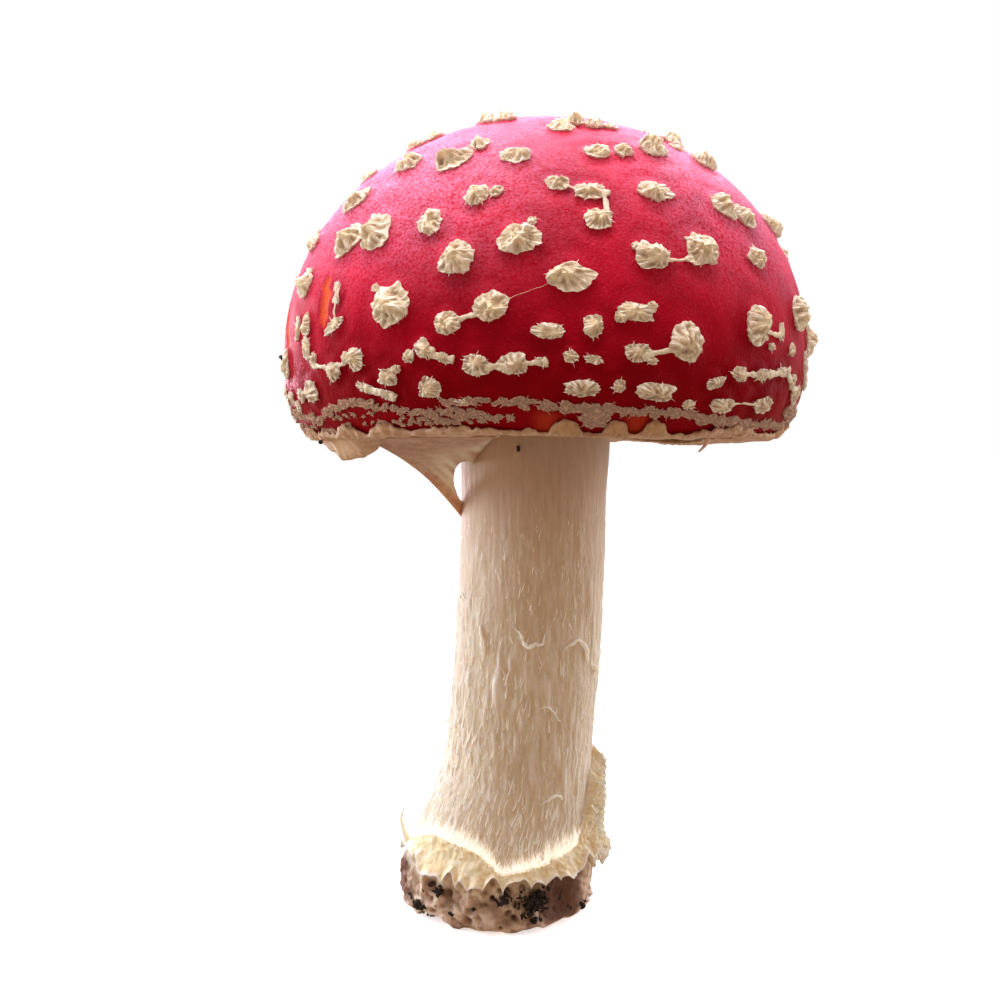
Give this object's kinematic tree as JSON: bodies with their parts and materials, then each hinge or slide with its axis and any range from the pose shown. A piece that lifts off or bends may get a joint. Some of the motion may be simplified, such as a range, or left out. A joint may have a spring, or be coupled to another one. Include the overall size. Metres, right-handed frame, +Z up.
{
  "type": "fly agaric mushroom",
  "caption": "Young fly agaric: domed cap with raised pyramid warts, gills and torn veil beneath, leaning stem, ragged volva collar and bulb with soil crumbs.",
  "frame": {"origin": "middle of the flat foot under the bulb, on the surface it stands on", "axes": "+Z up along the mushroom's height, +X towards the side the stem leans to, -Y the front"},
  "size_m": [0.0929, 0.0935, 0.141],
  "materials": {
    "cap": "moist crimson skin with cream warts",
    "gills": "soft white",
    "veil": "thin pinkish-cream membrane",
    "stem": "fibrous cream white",
    "volva": "shaggy cream yellow scales",
    "soil": "dark crumbly humus"
  },
  "bodies": {
    "root": {"cap": "cap", "gills": "gills", "partial_veil": "veil", "stem": "stem", "volva": "volva", "soil_crumb_1": "soil", "soil_crumb_2": "soil", "soil_crumb_3": "soil", "soil_crumb_4": "soil", "soil_crumb_5": "soil", "soil_crumb_6": "soil", "soil_crumb_7": "soil", "soil_crumb_8": "soil"}
  },
  "joints": []
}
